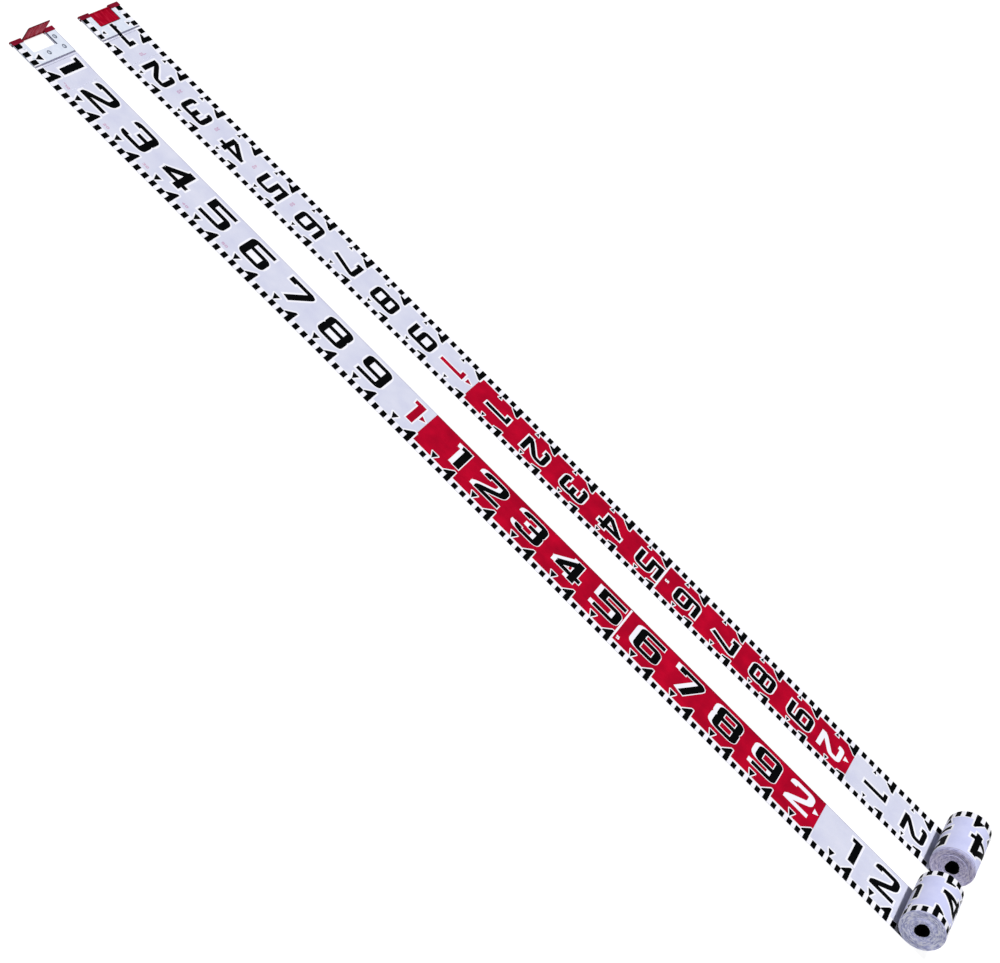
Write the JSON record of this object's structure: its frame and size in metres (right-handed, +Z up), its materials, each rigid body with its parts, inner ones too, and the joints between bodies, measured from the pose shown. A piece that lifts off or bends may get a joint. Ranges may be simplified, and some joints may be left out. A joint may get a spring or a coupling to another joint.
{
  "type": "leveling rod",
  "caption": "Pair of flexible leveling rods: wide printed tapes laid out from a riveted zero-end fitting with a folding flap, the rest wound into an open roll.",
  "frame": {"origin": "middle of the pair, on the floor", "axes": "+X along the tapes from the zero ends to the rolls, +Y from rod A to rod B, +Z up"},
  "size_m": [2.2959, 0.3232, 0.0876],
  "materials": {
    "tape_print": "coated woven cloth, satin, printed in black and red",
    "tape_edge": "cut edges of wound coated cloth, matt",
    "plate_white": "white paint, satin, printed over",
    "bar_maroon": "maroon paint, satin",
    "flap_red": "bright red paint, satin",
    "steel": "plain rivet heads"
  },
  "bodies": {
    "rods": {"rod_a_tape_end": "tape_print", "rod_a_tape_run": "tape_print", "rod_a_end_plate_lower": "plate_white", "rod_a_end_plate_upper": "plate_white", "rod_a_end_bar_left": "bar_maroon", "rod_a_end_bar_right": "bar_maroon", "rod_a_hinge_pin": "steel", "rod_a_rivet_1": "steel", "rod_a_rivet_2": "steel", "rod_a_rivet_3": "steel", "rod_a_rivet_4": "steel", "rod_a_rivet_5": "steel", "rod_b_tape_end": "tape_print", "rod_b_tape_run": "tape_print", "rod_b_end_plate_lower": "plate_white", "rod_b_end_plate_upper": "plate_white", "rod_b_end_bar_left": "bar_maroon", "rod_b_end_bar_right": "bar_maroon", "rod_b_hinge_pin": "steel", "rod_b_rivet_1": "steel", "rod_b_rivet_2": "steel", "rod_b_rivet_3": "steel", "rod_b_rivet_4": "steel", "rod_b_rivet_5": "steel"},
    "rod_a_flap": {"rod_a_flap": "flap_red"},
    "rod_a_tape_roll": {"rod_a_tape_roll": "tape_edge"},
    "rod_b_flap": {"rod_b_flap": "flap_red"},
    "rod_b_tape_roll": {"rod_b_tape_roll": "tape_edge"}
  },
  "joints": [
    {"name": "rod_a_flap_hinge", "type": "hinge", "parent": "rods", "child": "rod_a_flap", "pos_m": [-1.14305, -0.0995, 0.0025], "axis": [0, -1, 0], "range_deg": [-90, 0]},
    {"name": "rod_a_roll_turn", "type": "hinge", "parent": "rods", "child": "rod_a_tape_roll", "pos_m": [1.10055, -0.0995, 0.0444], "axis": [0, 1, 0], "continuous": true},
    {"name": "rod_b_flap_hinge", "type": "hinge", "parent": "rods", "child": "rod_b_flap", "pos_m": [-1.13905, 0.0995, 0.0025], "axis": [0, -1, 0], "range_deg": [0, 90]},
    {"name": "rod_b_roll_turn", "type": "hinge", "parent": "rods", "child": "rod_b_tape_roll", "pos_m": [1.10455, 0.0995, 0.0444], "axis": [0, 1, 0], "continuous": true}
  ]
}
